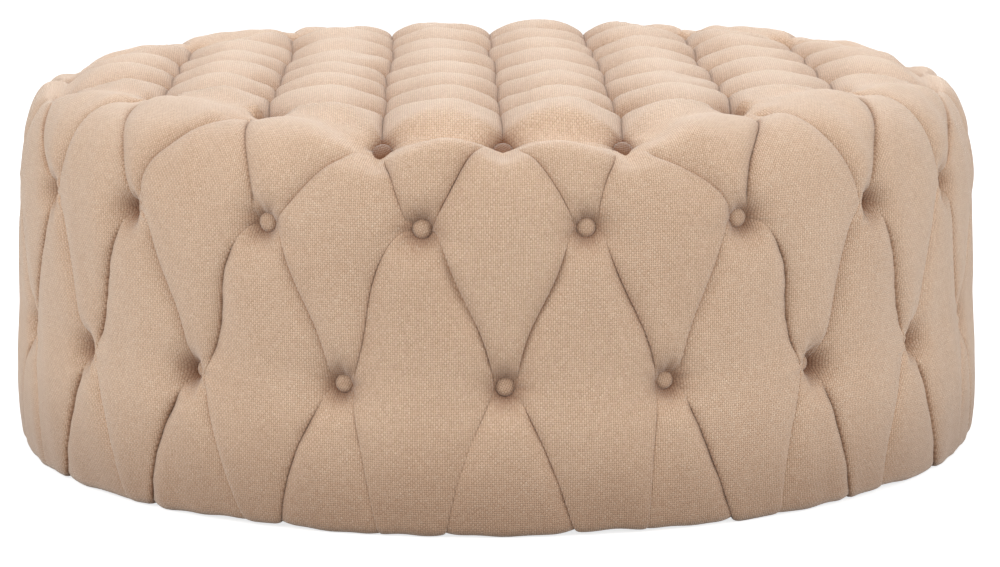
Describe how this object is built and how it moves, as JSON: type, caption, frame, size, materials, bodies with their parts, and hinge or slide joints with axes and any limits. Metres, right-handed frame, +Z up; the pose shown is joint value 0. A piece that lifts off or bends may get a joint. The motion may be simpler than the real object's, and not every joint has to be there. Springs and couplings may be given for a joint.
{
  "type": "ottoman coffee table",
  "caption": "Low round upholstered ottoman used as a coffee table, square tufted on top and diamond tufted round its side, in coarse burlap with covered buttons.",
  "frame": {"origin": "on the floor under the middle of the ottoman", "axes": "+Z up; -Y is the front that the picture shows; +X to the right"},
  "size_m": [1.0148, 1.0148, 0.394],
  "materials": {
    "burlap": "coarse natural burlap weave with slubs, matt",
    "twine": "twisted waxed linen twine",
    "wadding": "white bonded fibre wadding",
    "foam": "open-cell cream foam",
    "plywood": "raw birch plywood",
    "hardboard": "raw brown hardboard",
    "softwood": "raw planed pine",
    "plated_steel": "dull zinc plate",
    "toggle_plastic": "natural white nylon",
    "glide_plastic": "black nylon",
    "dust_lining": "blue-black spunbond lining"
  },
  "bodies": {
    "root": {"tufted_cover": "burlap", "field_buttons": "burlap", "edge_buttons": "burlap", "upper_row_buttons": "burlap", "lower_row_buttons": "burlap", "hem": "burlap", "top_button_backs": "plated_steel", "side_button_backs": "plated_steel", "top_button_eyes": "plated_steel", "side_button_eyes": "plated_steel", "top_twines": "twine", "side_twines": "twine", "top_toggles": "toggle_plastic", "side_toggles": "toggle_plastic", "top_wadding": "wadding", "side_wadding": "wadding", "top_foam": "foam", "side_foam": "foam", "top_deck": "plywood", "side_hoop": "hardboard", "base_board": "plywood", "uprights": "softwood", "glue_blocks": "softwood", "base_screws": "plated_steel", "deck_screws": "plated_steel", "hoop_staples": "plated_steel", "hem_staples": "plated_steel", "dust_cover": "dust_lining", "dust_cover_staples": "plated_steel", "glides": "glide_plastic", "glide_nails": "plated_steel"}
  },
  "joints": []
}
